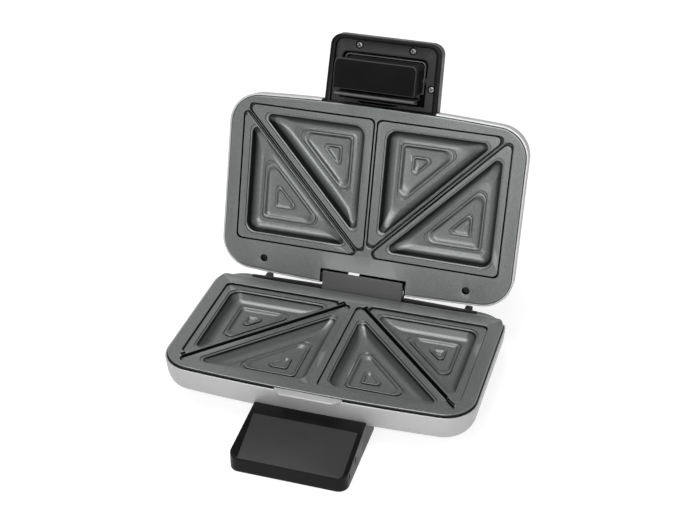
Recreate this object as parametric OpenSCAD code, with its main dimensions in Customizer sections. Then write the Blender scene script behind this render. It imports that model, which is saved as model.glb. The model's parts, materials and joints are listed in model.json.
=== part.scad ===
// Two-slice sandwich toaster with a hinged lid and a clip latch.
// Lengths are millimetres. Most pieces are drawn in the plate frame: x = 0 is the middle,
// y = 0 the front edge of the sandwich compartments, z = 0 the plane where the plates meet.

/* [Cooking plates] */
// Width of both compartments together
grid_w = 250; // [244:1:256]
// Depth of a compartment, front to back
grid_d = 128; // [124:1:130]
// Rib between the two compartments
rib_w = 5; // [3:0.5:8]
// Depth of the recess round the lower pockets
recess_d = 2.3; // [1.5:0.1:3]
// Depth of a pocket below the meeting plane
pocket_d = 12.7; // [10:0.1:13.5]
// Gap between the closed plates
plate_gap = 0.4; // [0.3:0.1:1]

/* [Body] */
// Half width of a plate
half_w = 137.3; // [136:0.1:139]
// Front of a plate, in front of the compartments
front_y = -11.3; // [-13:0.1:-10]
// Back of a plate
back_y = 158; // [157:0.5:160]
// Radius of the plan corners
corner_r = 27; // [22:1:30]
// Height of the meeting plane above the table
parting_h = 50; // [50:0.5:52]
// Height of the lid above the meeting plane
lid_h = 31; // [29:0.5:33]
// Wall of the pressed casings
casing_t = 1.5; // [1:0.1:2]

/* [Hinge] */
// Angle of the open lid from closed
open_angle = 106.5; // [95:0.5:110]
// Hinge axis behind the compartments' front edge
hinge_y = 154.7; // [154:0.1:155.5]
// Hinge axis above the meeting plane
hinge_z = 5.3; // [5:0.1:5.6]
// Radius of the hinge pin
pin_r = 2; // [1.8:0.05:2.2]
// Running clearance of the lid on the pin
pin_fit = 0.05; // [0.02:0.01:0.1]

/* [Handles and latch] */
// Front edge of the handles
handle_y = -72.5; // [-74:0.5:-70]
// Half width of the handles
handle_hw = 52; // [50:0.5:53]
// Half width of the latch
latch_hw = 37.5; // [35:0.5:38]
// Height of the latch pivot above the meeting plane
latch_z = 15; // [14:0.5:16]
// Latch pivot in front of the compartments
latch_y = -38; // [-39:0.5:-37]

/* [Hidden] */
$fn = 48;
eps = 0.01;
wide = 400;
middle_y = -81.7;
plate_t = 4;
half_gap = plate_gap / 2;
casing_grow = 2.2;
front_bow_r = 1900;
back_bow_r = 2000;
flat_end_y = 142;
apron_end_z = -5.6;
base_wall_h = 22;
cover_z = -44;
foot_r = 8;
foot_x = 98;
foot_y = [36, 142];
screw_x = 97.1;
screw_y = 144.6;
notch_hw = 41.2;
notch_y = 145;
shield_foot = [146.4, -4];
shield_top = [150.6, 14.2];
shield_t = 1.2;
shield_hw = 38.4;
deck_z = -4;
barrel_r = 4.2;
cheek_x = [31, 37.5];
lid_arm_x = [20, 30];
pocket_side = 8;
pocket_front = 7.5;
pocket_diag = 6.8;
pan_t = 1.8;
comp_w = (grid_w - rib_w) / 2;
corner_steps = 5;
slot_w = 3.6;
slot_floor = -5;
boss_y = [30, 98];
handle_h = 19;
handle_rim_z = 5;
root_y = -9;
panel_z = 11;
clip_r = 2;
latch_lug_x = 43.5;
latch_end_z = -19.6;
hook_y = -22.5;
ledge_front = -19.5;
ledge_z = -3;
element_z = 18.5;
element_r = 3.2;
lead_r = 1.3;

// ---- placing ----

module in_base() {
    translate([0, middle_y, parting_h]) children();
}

module in_lid() {
    in_base()
        translate([0, hinge_y, hinge_z])
            rotate([-open_angle, 0, 0])
                translate([0, -hinge_y, -hinge_z]) children();
}

module both_sides() {
    children();
    mirror([1, 0, 0]) children();
}

// ---- shared outlines ----

function arc(centre, r, a0, a1, n) = [
    for (i = [0:n]) centre + r * [cos(a0 + (a1 - a0) * i / n), sin(a0 + (a1 - a0) * i / n)]
];

// Plan of a plate or casing: bowed front and back, straight sides and round corners
function body_points(grow) =
    let (
        hw = half_w + grow,
        r = max(corner_r + grow, 4),
        rf = front_bow_r + grow,
        rb = back_bow_r + grow,
        cf = [0, front_y - grow + rf],
        cb = [0, back_y + grow - rb],
        x = hw - r,
        yf = cf.y - sqrt((rf - r) * (rf - r) - x * x),
        yb = cb.y + sqrt((rb - r) * (rb - r) - x * x),
        af = atan2(yf - cf.y, x),
        ab = atan2(yb - cb.y, x)
    )
    concat(
        arc(cf, rf, -180 - af, af, 10),
        arc([x, yf], r, af, 0, 8),
        arc([x, yb], r, 0, ab, 8),
        arc(cb, rb, ab, 180 - ab, 10),
        arc([-x, yb], r, 180 - ab, 180, 8),
        arc([-x, yf], r, 180, 180 - af, 8)
    );

module body_slab(grow, z, h) {
    translate([0, 0, z]) linear_extrude(h) polygon(body_points(grow));
}

module round_rect(x0, x1, y0, y1, r) {
    polygon(concat(
        arc([x0 + r, y0 + r], r, 180, 270, 6),
        arc([x1 - r, y0 + r], r, 270, 360, 6),
        arc([x1 - r, y1 - r], r, 0, 90, 6),
        arc([x0 + r, y1 - r], r, 90, 180, 6)
    ));
}

// Block between two corners
module block(p, q) {
    translate(p) cube(q - p);
}

// A side view [y, z] drawn out along x
module side_profile(points, hw) {
    translate([-hw, 0, 0])
        rotate([90, 0, 90]) linear_extrude(2 * hw) polygon(points);
}

module rod_x(y, z, r, x0, x1) {
    translate([x0, y, z]) rotate([0, 90, 0]) cylinder(r = r, h = x1 - x0);
}

module screw_up(x, y, z, r, head_r, length) {
    translate([x, y, z]) {
        difference() {
            cylinder(r = head_r, h = 2.2);
            translate([0, 0, -eps]) linear_extrude(1.2 + eps) cross_slot(head_r * 1.3);
        }
        translate([0, 0, 2.2 - eps]) cylinder(r = r, h = length);
    }
}

module cross_slot(span) {
    square([span, span / 4], center = true);
    square([span / 4, span], center = true);
}

// ---- triangular pockets ----

// Incentre and inradius of a right triangle with its square corner first
function in_radius(tri) =
    let (a = tri[1].x - tri[0].x, b = tri[2].y - tri[0].y) (a + b - norm([a, b])) / 2;

pocket_legs_x = comp_w * (1 - pocket_diag * norm([1 / comp_w, 1 / grid_d]) - pocket_front / grid_d);
pocket_legs_y = grid_d * (1 - pocket_diag * norm([1 / comp_w, 1 / grid_d]) - pocket_side / comp_w);
pocket_tri = [
    [pocket_side, pocket_front],
    [pocket_legs_x, pocket_front],
    [pocket_side, pocket_legs_y]
];
pocket_in_r = in_radius(pocket_tri);
pocket_centre = pocket_tri[0] + [pocket_in_r, pocket_in_r];

// Ring of a rounded triangle, moved in by inset; its corner radii shrink with it
function tri_ring(inset, z) =
    let (
        k = (pocket_in_r - inset) / pocket_in_r,
        radii = [for (r = [10, 6, 6]) max(r * (1 - 0.85 * inset / pocket_in_r), 0.5)],
        v = [for (p = pocket_tri) pocket_centre + (p - pocket_centre) * k]
    )
    [
        for (i = [0:2])
            let (
                before = v[i] - v[(i + 2) % 3],
                after = v[(i + 1) % 3] - v[i],
                a0 = atan2(before.y, before.x) - 90,
                a1 = atan2(after.y, after.x) - 90,
                turn = (a1 - a0 + 720) % 360,
                half_corner = (180 - turn) / 2,
                way = (pocket_centre - v[i]) / norm(pocket_centre - v[i]),
                c = v[i] + way * radii[i] / sin(half_corner)
            )
            for (j = [0:corner_steps])
                let (a = a0 + turn * j / corner_steps)
                [c.x + radii[i] * cos(a), c.y + radii[i] * sin(a), z]
    ];

// Closed solid through a list of [inset, height] rings, from the top ring down
module ring_solid(profile) {
    n = 3 * (corner_steps + 1);
    m = len(profile);
    points = [for (p = profile) each tri_ring(p[0], p[1])];
    sides = [
        for (k = [0:m - 2]) for (i = [0:n - 1])
            let (a = k * n + i, b = k * n + (i + 1) % n)
            each [[a, b, b + n], [a, b + n, a + n]]
    ];
    top = [for (i = [0:n - 1]) n - 1 - i];
    bottom = [for (i = [0:n - 1]) (m - 1) * n + i];
    polyhedron(points, concat([top], sides, [bottom]), convexity = 4);
}

pocket_profile = [
    [0, 1], [0, -recess_d - 0.3], [1.3, -5.8], [3.2, -9.2], [6, -pocket_d + 0.8],
    [8.6, -pocket_d], [11.4, -pocket_d], [13, -pocket_d + 1.7], [21.6, -pocket_d + 1.9],
    [23, -pocket_d + 3.3]
];
pan_profile = [
    [-pan_t, -recess_d], [-0.6, -6.6], [1.4, -10.2], [4.6, -pocket_d - 1], [8, -pocket_d - pan_t]
];

// The four triangles of the two compartments
module at_pockets() {
    both_sides()
        translate([rib_w / 2, 0, 0]) {
            children();
            translate([comp_w, grid_d, 0]) rotate([0, 0, 180]) children();
        }
}

// Bar along the diagonal of each compartment
module diagonal_bar(w, z0, z1, short) {
    length = norm([comp_w, grid_d]) - 2 * short;
    both_sides()
        translate([rib_w / 2 + comp_w / 2, grid_d / 2, z0])
            rotate([0, 0, atan2(-grid_d, comp_w)])
                translate([-length / 2, -w / 2, 0]) cube([length, w, z1 - z0]);
}

module compartment_floor(z, h) {
    both_sides()
        translate([0, 0, z]) linear_extrude(h)
            round_rect(rib_w / 2, grid_w / 2, 0, grid_d, 4.5);
}

// ---- base ----

module lower_plate() color("#5d5e60") in_base() {
    top = -half_gap;
    under = -plate_t - half_gap;
    difference() {
        union() {
            intersection() {
                body_slab(0, under, plate_t);
                block([-wide, -wide, -wide], [wide, flat_end_y, wide]);
            }
            intersection() {
                side_profile([
                    [flat_end_y - 2, top], [flat_end_y, top], [147, -4.2], [160, apron_end_z],
                    [160, apron_end_z - 1.8], [146, apron_end_z - 1], [flat_end_y - 2, under]
                ], wide / 2);
                body_slab(0, -wide / 2, wide);
            }
            at_pockets() ring_solid(pan_profile);
            diagonal_bar(slot_w + 3, slot_floor - 1.4, under + 1, 5);
            for (y = boss_y)
                translate([0, y, -16]) cylinder(r = 3.6, h = 13);
        }
        compartment_floor(-recess_d, recess_d + 1);
        diagonal_bar(slot_w, slot_floor, 1, 7);
        at_pockets() ring_solid(pocket_profile);
        block([-shield_hw - 0.8, shield_foot.x - 0.8, -wide / 2], [shield_hw + 0.8, wide, 5]);
        for (y = boss_y)
            translate([0, y, -16 - eps]) cylinder(r = 1.5, h = 11);
    }
}

module casing_outside() {
    hull() {
        body_slab(casing_grow, -3, 0.4);
        body_slab(casing_grow - 1.2, -17, 1);
        body_slab(-1.5, -23.6, 0.6);
        body_slab(-4.5, -3 - base_wall_h, 0.4);
    }
}

module lower_casing() color("#c6c8ca") in_base() {
    difference() {
        casing_outside();
        hull() {
            body_slab(casing_grow - casing_t, -2, 1);
            body_slab(casing_grow - casing_t - 1.2, -17, 1);
            body_slab(-1.5 - casing_t, -3 - base_wall_h + casing_t, 0.4);
        }
        block([-112, 12, -30], [112, 140, -20]);
        at_hinge_screws() translate([0, 0, -30]) cylinder(r = 1.8, h = 10);
        side_profile([[139, -1], [139, -4.6], [146, -8], [175, -8.8], [175, -1]], wide / 2);
        at_handle_screws() translate([0, 0, -30]) cylinder(r = 2.2, h = 10);
    }
    ledge();
    screw_bosses();
}

// Tabs in the floor's opening with bosses for the bottom screws
module screw_bosses() {
    at_bottom_screws()
        difference() {
            union() {
                translate([0, 0, cover_z + 2]) cylinder(r = 3.2, h = 17.4);
                translate([-6, -7, -25.2]) cube([12, 14, 0.8]);
            }
            translate([0, 0, cover_z]) cylinder(r = 1.62, h = 12.2);
        }
}

// Shelf that the latch hooks under
module ledge() {
    translate([0, 0, ledge_z]) linear_extrude(2.2)
        polygon([[-30, -12.6], [-23, ledge_front], [23, ledge_front], [30, -12.6]]);
}

module at_handle_screws() {
    both_sides() translate([36, 4, 0]) children();
}

module pan_outside(shrink) {
    hull() {
        body_slab(-4.6 - shrink, -25.5 + (shrink > 0 ? 1 : 0), 0.3);
        translate([0, 0, cover_z + shrink]) linear_extrude(0.4)
            round_rect(-118 + shrink, 118 - shrink, 21 + shrink, 151 - shrink, 18);
    }
}

module bottom_cover() color("#232324") in_base() {
    difference() {
        pan_outside(0);
        pan_outside(2);
        for (x = [-60:12:60])
            translate([x - 2, 60, cover_z - 1]) cube([4, 40, 4]);
        at_inlet() cylinder(r = 6, h = 40, center = true);
        at_bottom_screws() translate([0, 0, -wide / 2]) cylinder(r = 1.8, h = wide);
        at_handle_screws() translate([0, 0, -wide / 2]) cylinder(r = 2.2, h = wide);
    }
}

module at_bottom_screws() {
    both_sides() {
        translate([108, 70, 0]) children();
        translate([82, 135, 0]) children();
    }
}

module bottom_screws() color("#b9bbbd") in_base() {
    at_bottom_screws() screw_up(0, 0, cover_z - 2.3, 1.6, 3, 12);
}

module rubber_feet() color("#1b1b1c") in_base() {
    both_sides()
        for (y = foot_y)
            translate([foot_x, y, -parting_h]) {
                cylinder(r1 = foot_r - 0.8, r2 = foot_r, h = 1);
                translate([0, 0, 1]) cylinder(r = foot_r, h = parting_h + cover_z - 1);
            }
}

module lower_plate_screws() color("#b9bbbd") in_base() {
    for (y = boss_y)
        screw_up(0, y, -26.5, 1.4, 2.8, 18.6);
}

// Tube loop under or over the four pockets, with two end pins
module element_loop() {
    x1 = 96;
    y0 = 22;
    y1 = 106;
    r = 22;
    both_sides() {
        rod_x(y0, 0, element_r, 0, x1 - r);
        translate([x1 - r, y0 + r, 0]) rotate([0, 0, -90])
            rotate_extrude(angle = 90) translate([r, 0]) circle(r = element_r);
        translate([x1, y0 + r, 0]) rotate([-90, 0, 0]) cylinder(r = element_r, h = y1 - y0 - 2 * r);
        translate([x1 - r, y1 - r, 0])
            rotate_extrude(angle = 90) translate([r, 0]) circle(r = element_r);
        rod_x(y1, 0, element_r, 16, x1 - r);
        rod_x(y1, 0, 1.6, 8, 16 + eps);
    }
}

module lower_heating_element() color("#8a8782") in_base() {
    translate([0, 0, -element_z]) element_loop();
}

module element_clip(x, y) {
    translate([x, y, 0]) difference() {
        translate([-4, -5.5, -4.6]) cube([8, 11, 5.6]);
        rotate([0, 90, 0]) cylinder(r = element_r + 0.05, h = 20, center = true);
    }
}

module element_clips() {
    both_sides() {
        element_clip(45, 22);
        element_clip(45, 106);
    }
}

module lower_element_clips() color("#a9aaac") in_base() {
    translate([0, 0, -element_z]) element_clips();
}

module reflector(z, lip) {
    difference() {
        translate([0, 0, z]) linear_extrude(0.8) round_rect(-109, 109, 14, 122, 14);
        both_sides() translate([10, 106, z - 1]) cylinder(r = 3, h = 3);
        for (y = boss_y)
            translate([0, y, z - 1]) cylinder(r = 2, h = 3);
    }
    difference() {
        translate([0, 0, min(z, lip)]) linear_extrude(abs(lip - z))
            round_rect(-109, 109, 14, 122, 14);
        translate([0, 0, min(z, lip) - 1]) linear_extrude(abs(lip - z) + 2)
            round_rect(-108.2, 108.2, 14.8, 121.2, 13.2);
    }
}

module lower_reflector() color("#b3b5b7") in_base() {
    reflector(-24.2, -20);
}

module thermostat() color("#cfc9bd") in_base() {
    translate([0, 64, -12.02]) {
        cylinder(r = 6.5, h = 7.8);
        translate([0, 0, -4]) cylinder(r = 4.8, h = 4 + eps);
        both_sides() translate([4, -0.5, -6.5]) cube([3, 1, 7]);
    }
}

module thermal_fuse() color("#d8d2c4") in_base() {
    translate([0, 72.6, -6.45]) rotate([-90, 0, 0]) {
        cylinder(r = 2.2, h = 16);
        translate([0, 0, -1.6]) cylinder(r = 0.6, h = 19.2);
    }
}

module terminal_block() color("#e6e2d6") in_base() {
    translate([62, 112, cover_z + 2.1]) {
        difference() {
            cube([30, 16, 11.4]);
            for (x = [5, 15, 25])
                translate([x, 8, 4]) cylinder(r = 2, h = 9);
        }
    }
}

// Direction of a lead at its point i, halfway between the stretches that meet there
function lead_way(points, i) =
    let (
        last = len(points) - 1,
        v = points[min(i + 1, last)] - points[min(i, last - 1)],
        u = points[max(i, 1)] - points[max(i - 1, 0)],
        w = v / norm(v) + u / norm(u)
    )
    w / norm(w);

// Insulated lead: a closed eight-sided tube through a list of points
module lead(points, r) {
    n = 8;
    m = len(points);
    rings = [
        for (i = [0:m - 1])
            let (
                w = lead_way(points, i),
                side = cross(w, [0.1, 0.2, 1]) / norm(cross(w, [0.1, 0.2, 1])),
                up = cross(side, w)
            )
            for (j = [0:n - 1])
                points[i] + r * (cos(360 * j / n) * side + sin(360 * j / n) * up)
    ];
    sides = [
        for (k = [0:m - 2]) for (j = [0:n - 1])
            let (a = k * n + j, b = k * n + (j + 1) % n)
            each [[a, b, b + n], [a, b + n, a + n]]
    ];
    start = [for (j = [0:n - 1]) n - 1 - j];
    end = [for (j = [0:n - 1]) (m - 1) * n + j];
    polyhedron(rings, concat([start], sides, [end]), convexity = 4);
}

module base_wiring() color("#b7472a") in_base() {
    z = -28.3;
    lead([
        [10.4, 106, -20.2], [10.4, 106.4, -25.6], [15, 109, z], [60, 116, z], [66.7, 119.8, z],
        [67, 120, -36.5]
    ], lead_r);
    lead([
        [-10.4, 106, -20.2], [-10.4, 106.8, -25.6], [-8, 112, z], [58, 126, z], [74, 124.4, z],
        [76.9, 120.2, z], [77, 120, -36.5]
    ], lead_r);
    lead([
        [55, 149, -35], [56, 142, -34.5], [66, 131, -29.5], [84, 126, z], [87, 120.2, z],
        [87, 120, -36.5]
    ], lead_r);
}

module at_inlet() {
    translate([55, 151, -35]) rotate([-90, 0, 0]) children();
}

module cord_inlet() color("#202021") in_base() {
    at_inlet() difference() {
        union() {
            translate([0, 0, -5]) cylinder(r = 5.9, h = 10);
            translate([0, 0, 1.8]) cylinder(r = 8.5, h = 3.4);
        }
        translate([0, 0, -6]) cylinder(r = 3.3, h = 14);
    }
}

module rear_stand_posts() color("#1d1d1e") in_base() {
    difference() {
        both_sides()
            translate([99, 151, -22]) linear_extrude(13.6)
                round_rect(-3.4, 3.4, 0, 20.8, 1.5);
        casing_outside();
    }
}

// ---- hinge ----

module hinge_shield() color("#58595b") in_base() {
    side_profile([
        shield_foot, shield_top, shield_top + [shield_t, 0], shield_foot + [shield_t, 0]
    ], shield_hw);
}

module hinge_block() color("#1f1f20") in_base() {
    cheek_w = cheek_x[1] - cheek_x[0];
    difference() {
        union() {
            both_sides()
                translate([cheek_x[0], 0, 0]) {
                    rod_x(hinge_y, hinge_z, barrel_r, 0, cheek_w);
                    block([0, hinge_y - barrel_r, deck_z], [cheek_w, hinge_y + 3, hinge_z]);
                }
            block([-shield_hw, shield_foot.x - 0.4, deck_z - 3.8], [shield_hw, 159.4, deck_z]);
            block([-shield_hw, shield_foot.x - 0.4, -23.5], [shield_hw, 154.6, deck_z - 3]);
            lid_stops();
        }
        rod_x(hinge_y, hinge_z, pin_r + 0.02, -wide / 2, wide / 2);
        at_hinge_screws() translate([0, 0, -30]) cylinder(r = 1.6, h = 18);
    }
}

// Lugs that the arms of the open lid lean on
module lid_stops() {
    both_sides()
        translate([(lid_arm_x[0] + lid_arm_x[1]) / 2, 0, 0])
            side_profile([
                [155.2, deck_z - 1], [155.2, 0.4], [156.5, 0.95], [159.2, 0.15], [159.2, deck_z - 1]
            ], 4.5);
}

module at_hinge_screws() {
    both_sides() translate([22, 148.3, 0]) children();
}

module hinge_block_screws() color("#b9bbbd") in_base() {
    at_hinge_screws() screw_up(0, 0, -27.3, 1.5, 2.4, 12);
}

module hinge_pin() color("#c9cbcd") in_base() {
    rod_x(hinge_y, hinge_z, pin_r, -cheek_x[1] - 0.8, cheek_x[1] + 0.8);
}

// ---- lower handle ----

handle_front = handle_y + 1.5;
lower_handle_side = [
    [-11.8, -18.5], [handle_front, -31], [handle_front, -45.5], [handle_front + 1.5, -47],
    [14, -47], [14, -39.9], [-7.1, -25.5], [-9.95, -23.7]
];

module handle_plan(hw, y0, y1, r) {
    polygon(concat(
        arc([-hw + r, y0 + r], r, 180, 270, 6),
        arc([hw - r, y0 + r], r, 270, 360, 6),
        [[hw + 0.8, y1], [-hw - 0.8, y1]]
    ));
}

module lower_handle() color("#2c2d2e") in_base() {
    difference() {
        intersection() {
            side_profile(lower_handle_side, wide / 2);
            translate([0, 0, -60]) linear_extrude(60)
                handle_plan(handle_hw - 0.5, handle_front, 14, 9);
        }
        intersection() {
            side_profile([
                [-16, -23.5], [handle_front + 3, -34], [handle_front + 3, -50], [10, -50], [10, -41.5],
                [-7, -30.5], [-16, -29]
            ], wide / 2);
            translate([0, 0, -60]) linear_extrude(60)
                handle_plan(handle_hw - 3.5, handle_front + 3, 10, 6.5);
        }
        block([45, -46, -37.5], [60, -43.6, -29]);
        block([45, -62, -37.5], [60, -59.6, -31.5]);
        at_handle_screws() translate([0, 0, -45]) cylinder(r = 1.6, h = 30);
    }
    lower_handle_bosses();
}

module lower_handle_bosses() {
    both_sides()
        translate([36, -52, -44]) difference() {
            cylinder(r = 4, h = 15);
            translate([0, 0, -eps]) cylinder(r = 1.3, h = 9);
        }
}

module lower_handle_base() color("#222223") in_base() {
    difference() {
        translate([0, 0, -46.8]) linear_extrude(2.4)
            handle_plan(handle_hw - 3.8, handle_front + 3.3, 9.6, 6.2);
        both_sides()
            for (y = [-52, 4])
                translate([36, y, -50]) cylinder(r = 1.8, h = 10);
    }
}

module lower_handle_screws() color("#b9bbbd") in_base() {
    both_sides() {
        screw_up(36, -52, -49.1, 1.2, 3, 9);
        screw_up(36, 4, -49.1, 1.5, 3, 24);
    }
}

// ---- lid ----

module upper_plate() color("#77797b") in_lid() {
    difference() {
        union() {
            body_slab(0, half_gap, plate_t);
            mirror([0, 0, 1]) at_pockets() ring_solid(pan_profile);
            diagonal_bar(1.8, -2, half_gap + 1, 12);
        }
        mirror([0, 0, 1]) at_pockets() ring_solid(pocket_profile);
        compartment_grooves();
        block([-notch_hw, notch_y, -1], [notch_hw, back_y + 5, 10]);
        block([-notch_hw, notch_y - 1.8, 1.8], [notch_hw, back_y + 5, 10]);
        both_sides()
            translate([screw_x, screw_y, -1]) {
                cylinder(r = 1.9, h = 10);
                cylinder(r = 3.4, h = 4.2);
            }
    }
}

// Thin grooves that mark the edge of the lid's compartments
module compartment_grooves() {
    both_sides()
        translate([0, 0, -1]) linear_extrude(1 + half_gap + 0.7) difference() {
            round_rect(rib_w / 2, grid_w / 2, 0, grid_d, 4.5);
            round_rect(rib_w / 2 + 1.1, grid_w / 2 - 1.1, 1.1, grid_d - 1.1, 3.4);
        }
}

module upper_plate_screws() color("#6f7173") in_lid() {
    both_sides()
        screw_up(screw_x, screw_y, 0.95, 1.7, 3.2, 9);
}

module lid_outside(shrink) {
    hull() {
        body_slab(casing_grow - shrink, shrink > 0 ? -1 : 0.8, 0.4);
        body_slab(casing_grow - 0.8 - shrink, lid_h - 15, 0.4);
        body_slab(-0.9 - shrink, lid_h - 7.5 - shrink / 3, 0.3);
        body_slab(-5 - shrink, lid_h - 3.3 - shrink / 2, 0.3);
        body_slab(-12 - shrink, lid_h - 1.3 - shrink, 0.3);
        body_slab(-34 - shrink, lid_h - 0.3 - shrink, 0.3);
    }
}

module notch_block(side, y0, z0) {
    block([-notch_hw + side, y0, z0], [notch_hw - side, wide, wide]);
}

module lid_casing() color("#c6c8ca") in_lid() {
    difference() {
        lid_outside(0);
        lid_outside(casing_t);
        notch_block(-0.2, 141.4, -5);
        block([-handle_hw - 1.2, -30, -1], [handle_hw + 1.2, root_y + 0.4, handle_rim_z + handle_h + 0.3]);
        at_lenses() cylinder(r = 3.1, h = 60);
    }
    both_sides()
        translate([screw_x, screw_y, plate_t + half_gap]) difference() {
            cylinder(r = 3.4, h = lid_h - 6.4);
            translate([0, 0, -1]) cylinder(r = 1.8, h = 12);
        }
}

module lid_hinge_cover() color("#202122") in_lid() {
    difference() {
        intersection() {
            lid_outside(0);
            notch_block(0, 141.6, 4.6);
        }
        intersection() {
            lid_outside(2);
            notch_block(1.8, 143.4, -wide / 2);
        }
        block([-notch_hw + 1.8, hinge_y - 8, -5], [notch_hw - 1.8, wide / 2, 15]);
        block([-17, 146, 10], [-6, 159, 60]);
    }
}

lid_arm_side = [
    [152.8, hinge_z], [hinge_y + 3.1, hinge_z], [hinge_y + 3.1, 13.4], [156.3, 15.2], [154.1, 22.9],
    [150.4, 26.2], [145.6, 26.9], [145.6, 24], [150, 23], [152.8, 19]
];

module lid_hinge_brackets() color("#2a2b2c") in_lid() {
    both_sides()
        difference() {
            union() {
                rod_x(hinge_y, hinge_z, barrel_r, lid_arm_x[0], lid_arm_x[1]);
                translate([(lid_arm_x[0] + lid_arm_x[1]) / 2, 0, 0])
                    side_profile(lid_arm_side, (lid_arm_x[1] - lid_arm_x[0]) / 2);
            }
            rod_x(hinge_y, hinge_z, pin_r + pin_fit, 0, 60);
        }
}

module upper_heating_element() color("#8a8782") in_lid() {
    translate([0, 0, element_z]) mirror([0, 0, 1]) element_loop();
}

module upper_element_clips() color("#a9aaac") in_lid() {
    translate([0, 0, element_z]) mirror([0, 0, 1]) element_clips();
}

module upper_reflector() color("#b3b5b7") in_lid() {
    reflector(23.12, 20);
}

// ---- indicator lamps ----

module at_lenses() {
    both_sides() translate([12, 8, 0]) children();
}

module lens() {
    translate([0, 0, lid_h - 6]) cylinder(r = 2.95, h = 6.2);
    translate([0, 0, lid_h + 0.2 - eps]) intersection() {
        translate([0, 0, -3.6]) sphere(r = 4.65);
        cylinder(r = 2.95, h = 3);
    }
}

module power_lens_red() color("#b3202a") in_lid() {
    mirror([1, 0, 0]) translate([12, 8, 0]) lens();
}

module ready_lens_green() color("#2f9a4a") in_lid() {
    translate([12, 8, 0]) lens();
}

module lamp_board() color("#3c6b46") in_lid() {
    translate([-20, 3, lid_h - 7.2]) cube([40, 10, 1.2]);
}

// ---- lid handle ----

module lid_handle_cover() color("#202122") in_lid() {
    top = handle_rim_z + handle_h;
    difference() {
        intersection() {
            side_profile([
                [root_y, handle_rim_z], [handle_y, handle_rim_z], [handle_y, top - 6],
                [handle_y + 2.5, top - 2.5], [handle_y + 7, top - 0.8], [handle_y + 14, top], [root_y, top]
            ], wide / 2);
            linear_extrude(60) handle_plan(handle_hw, handle_y, root_y, 10);
        }
        intersection() {
            side_profile([
                [root_y - 2.5, 0], [handle_y + 4, 0], [handle_y + 4, top - 6], [handle_y + 10, top - 2.5],
                [root_y - 2.5, top - 2.5]
            ], wide / 2);
            linear_extrude(60) handle_plan(handle_hw - 5, handle_y + 4, root_y - 2.5, 7);
        }
    }
    intersection() {
        block([-handle_hw - 4, -14, plate_t + half_gap + 0.1], [handle_hw + 4, root_y, 18]);
        lid_outside(casing_t + 0.03);
    }
    lid_handle_bosses();
}

panel_screws = [[24.7, -63.7], [44.5, -31.7]];

module lid_handle_bosses() {
    both_sides()
        for (p = panel_screws)
            translate([p.x, p.y, panel_z + 1.7]) difference() {
                cylinder(r = 2.6, h = 20 - panel_z);
                translate([0, 0, -eps]) cylinder(r = 1.3, h = 7);
            }
}

// Inset panel with the opening that the latch sits in
module lid_handle_panel() color("#333435") in_lid() {
    difference() {
        union() {
            translate([0, 0, panel_z - 1.5]) linear_extrude(3.1)
                handle_plan(handle_hw - 5.4, handle_y + 4.4, root_y - 2.9, 6.5);
            both_sides()
                block([latch_lug_x - 4, latch_y - 3.2, panel_z], [latch_lug_x, latch_y + 3.2, latch_z + 3.4]);
        }
        translate([0, 0, panel_z - 3]) linear_extrude(30) {
            latch_opening();
            polygon([[-19.5, -16], [-17, -13], [17, -13], [19.5, -16]]);
        }
        rod_x(latch_y, latch_z, clip_r + 0.02, -wide / 2, wide / 2);
        both_sides()
            for (p = panel_screws)
                translate([p.x, p.y, 0]) {
                    cylinder(r = 1.7, h = 30);
                    cylinder(r = 3.2, h = panel_z + 0.4);
                }
    }
}

module latch_opening() {
    polygon(concat(
        arc([-34.5, -52.5], 5, 180, 270, 5),
        arc([34.5, -52.5], 5, 270, 360, 5),
        [[39.5, -17.5], [-39.5, -17.5]]
    ));
}

module lid_handle_screws() color("#c4c6c8") in_lid() {
    both_sides()
        for (p = panel_screws)
            screw_up(p.x, p.y, panel_z - 1.9, 1.2, 2.9, 8);
}

// ---- latch ----

module latch_pin() color("#c9cbcd") in_lid() {
    rod_x(latch_y, latch_z, clip_r, -latch_lug_x, latch_lug_x);
}

module latch_lever() color("#161617") in_lid() {
    difference() {
        union() {
            latch_box();
            latch_hook();
        }
        rod_x(latch_y, latch_z, clip_r + pin_fit, -wide / 2, wide / 2);
    }
}

module latch_box() {
    difference() {
        translate([0, 0, latch_end_z]) linear_extrude(latch_z - latch_end_z + clip_r + 1.4)
            latch_plan(latch_hw, -53, -27, 5);
        translate([0, 0, latch_end_z + 2]) linear_extrude(60)
            latch_plan(latch_hw - 1.8, -51.2, -28.8, 3.4);
    }
    both_sides()
        rod_x(latch_y, latch_z, clip_r + 1.8, latch_hw - 5, latch_hw - 1);
}

module latch_plan(hw, y0, y1, r) {
    polygon(concat(
        arc([-hw + r, y0 + r], r, 180, 270, 5),
        arc([hw - r, y0 + r], r, 270, 360, 5),
        [[hw, y1], [-hw, y1]]
    ));
}

// Plate in front of the ledge, its hook under it when the latch is closed
module latch_hook() {
    hw = latch_hw - 1;
    block([-hw, hook_y - 1.6, latch_end_z], [hw, hook_y, 2]);
    block([-hw, -27.2, 0], [hw, hook_y - eps, 2]);
    block([-hw, hook_y - eps, ledge_z - 5.6], [hw, ledge_front - 0.4, ledge_z - 3.1]);
}

// Friction washers between the latch and the lugs that hold its pin
module latch_washers() color("#3a3a3b") in_lid() {
    both_sides()
        difference() {
            rod_x(latch_y, latch_z, clip_r + 1.8, latch_hw + 0.3, latch_lug_x - 4.05);
            rod_x(latch_y, latch_z, clip_r + 0.03, 0, wide);
        }
}

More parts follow.
